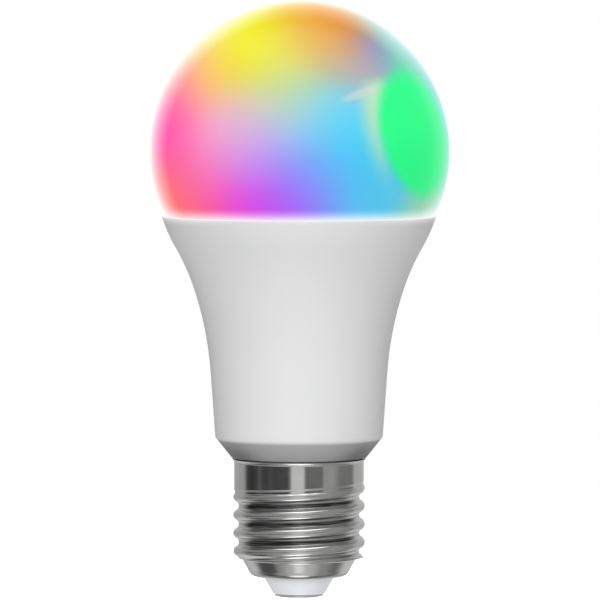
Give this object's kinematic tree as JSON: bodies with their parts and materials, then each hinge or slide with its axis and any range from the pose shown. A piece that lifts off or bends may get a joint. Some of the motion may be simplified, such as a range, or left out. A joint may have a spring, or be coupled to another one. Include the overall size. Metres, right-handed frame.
{
  "type": "smart light bulb",
  "caption": "Round-topped LED lamp with an opal dome, flared white body, screw cap, colour and white LEDs, mains driver and radio module.",
  "frame": {"origin": "middle of the flat tip of the centre contact, the lowest point of the screw cap", "axes": "+Z along the lamp's axis, from the cap towards the dome; -Y is the side that carries the film capacitor and the chips"},
  "size_m": [0.06, 0.06, 0.1188],
  "materials": {
    "opal_diffuser": "glossy",
    "silicone": "satin",
    "white_housing": "satin",
    "bare_aluminium": "satin",
    "thermal_paste": "matte",
    "white_board": "satin",
    "led_package": "matte",
    "warm_phosphor": "satin",
    "cool_phosphor": "satin",
    "red_die": "glossy",
    "green_die": "glossy",
    "blue_die": "glossy",
    "clear_resin": "clear",
    "screw_steel": "zinc plated",
    "gold_pins": "plated",
    "black_moulding": "matte",
    "white_moulding": "matte",
    "sleeve_plastic": "satin",
    "green_board": "satin",
    "capacitor_sleeve": "glossy",
    "bung_rubber": "matte",
    "ferrite": "matte",
    "yellow_tape": "glossy",
    "copper_winding": "enamelled",
    "resistor_coat": "satin",
    "varistor_coat": "glossy",
    "film_box": "glossy",
    "tinned_leads": "tinned",
    "smd_resistor": "satin",
    "smd_capacitor": "satin",
    "shield_can": "satin",
    "antenna_copper": "plated",
    "live_insulation": "satin",
    "neutral_insulation": "satin",
    "solder": "satin",
    "nickel_plate": "polished",
    "insulator": "glossy",
    "contact_metal": "satin"
  },
  "bodies": {
    "root": {"blue_led_dies": "blue_die", "bulk_capacitor": "capacitor_sleeve", "bulk_capacitor_bung": "bung_rubber", "cap_insulator": "insulator", "centre_contact": "contact_metal", "chip_leads": "tinned_leads", "choke_core": "ferrite", "choke_winding": "copper_winding", "colour_led_lenses": "clear_resin", "colour_led_packages": "led_package", "component_leads": "tinned_leads", "cool_led_packages": "led_package", "cool_led_phosphor": "cool_phosphor", "diffuser_dome": "opal_diffuser", "dimmer_chip": "black_moulding", "dome_sealant": "silicone", "driver_board": "green_board", "driver_sleeve": "sleeve_plastic", "film_capacitor": "film_box", "fusible_resistor": "resistor_coat", "green_led_dies": "green_die", "header_body": "black_moulding", "header_pins": "gold_pins", "header_socket": "white_moulding", "heat_sink_cup": "bare_aluminium", "housing_shell": "white_housing", "led_board": "white_board", "led_board_screws": "screw_steel", "live_wire": "live_insulation", "neutral_wire": "neutral_insulation", "output_capacitor": "capacitor_sleeve", "output_capacitor_bung": "bung_rubber", "radio_antenna": "antenna_copper", "radio_board": "green_board", "radio_chip": "black_moulding", "radio_module_pins": "gold_pins", "radio_pin_strip": "black_moulding", "radio_shield": "shield_can", "rectifier_bridge": "black_moulding", "red_led_dies": "red_die", "screw_shell": "nickel_plate", "smd_capacitors": "smd_capacitor", "smd_resistors": "smd_resistor", "solder_joints": "solder", "supply_chip": "black_moulding", "thermal_paste": "thermal_paste", "transformer_bobbin": "black_moulding", "transformer_core": "ferrite", "transformer_winding": "yellow_tape", "varistor": "varistor_coat", "warm_led_packages": "led_package", "warm_led_phosphor": "warm_phosphor"}
  },
  "joints": []
}
